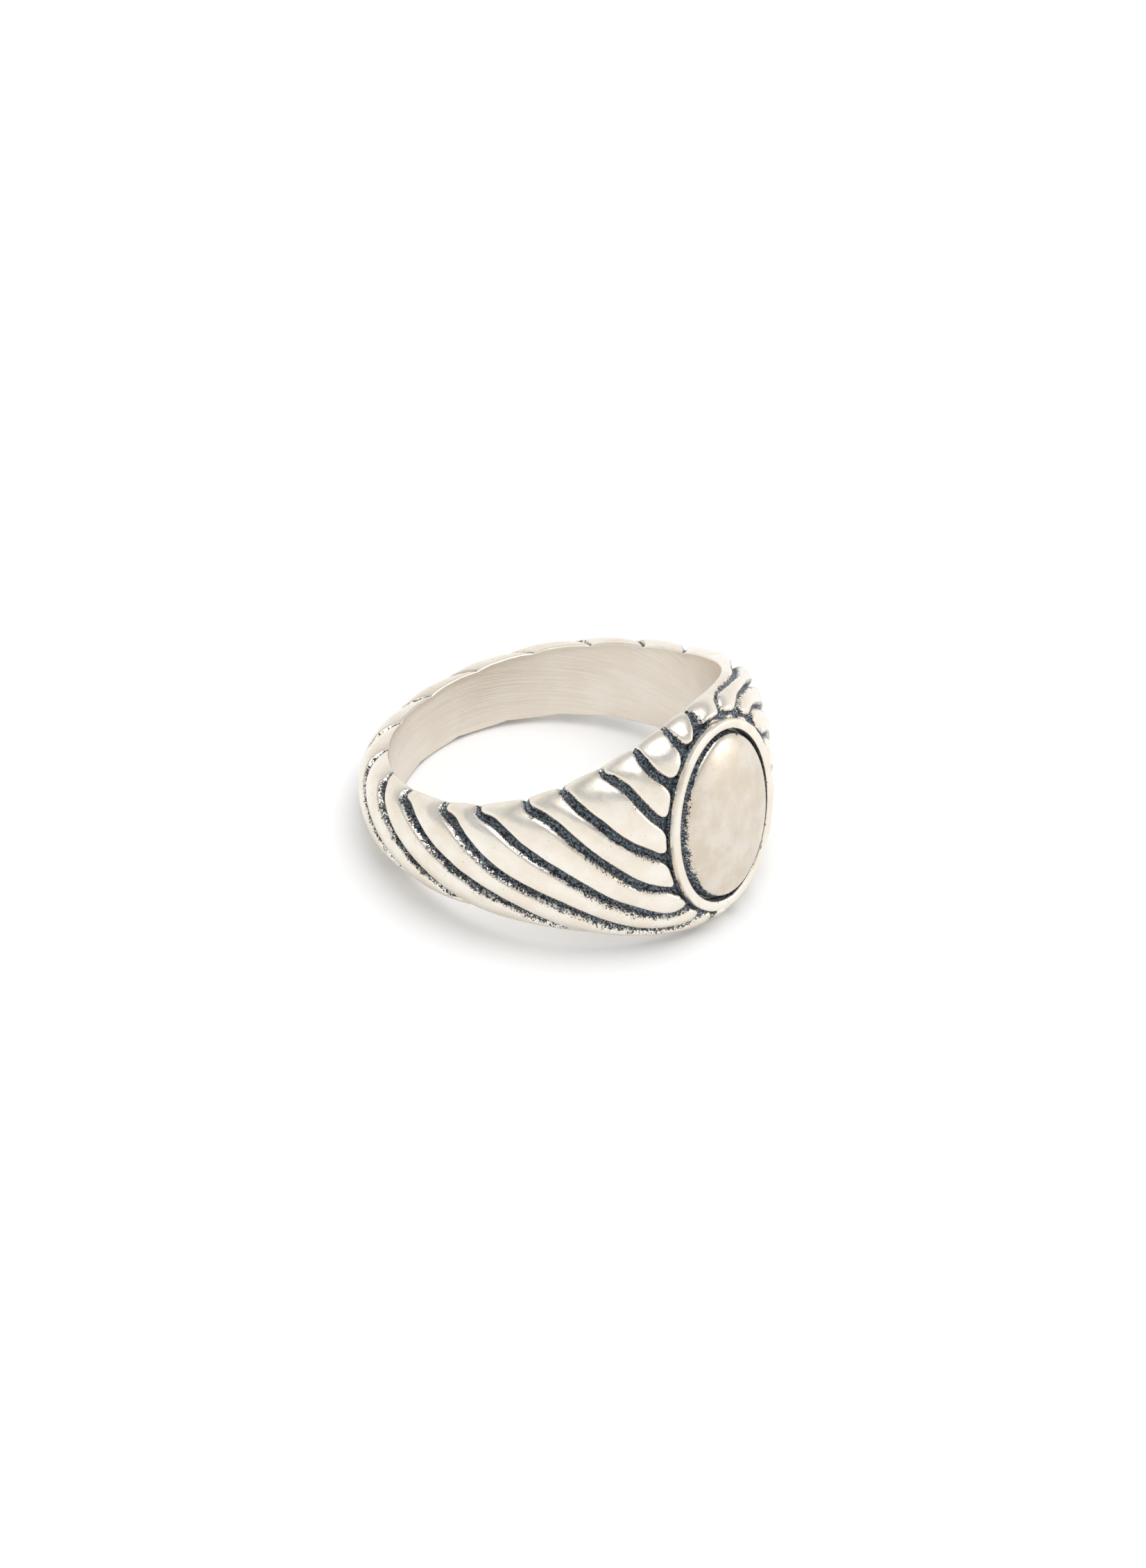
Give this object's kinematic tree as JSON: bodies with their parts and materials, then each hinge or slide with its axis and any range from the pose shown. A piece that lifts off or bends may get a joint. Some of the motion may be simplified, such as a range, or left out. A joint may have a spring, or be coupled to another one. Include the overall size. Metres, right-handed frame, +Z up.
{
  "type": "signet ring",
  "caption": "Finger ring of darkened silver: a flared shank of twisted lobes carries a raised oval rim round a smooth domed signet plate.",
  "frame": {"origin": "centre of the finger bore, with the ring lying at rest on a level surface", "axes": "+Z up from the surface the ring lies on, +X level and towards the signet; the finger axis leans 14.1 degrees from +Z away from the signet"},
  "size_m": [0.0233, 0.0234, 0.0131],
  "materials": {
    "oxidised_silver": "polished sterling silver with dark oxidised recesses",
    "satin_silver": "satin-polished sterling silver",
    "solder": "hard silver solder, dulled"
  },
  "bodies": {
    "root": {"shank": "oxidised_silver", "bezel_rim": "oxidised_silver", "signet_plate": "satin_silver", "rim_solder": "solder", "plate_solder": "solder"}
  },
  "joints": []
}
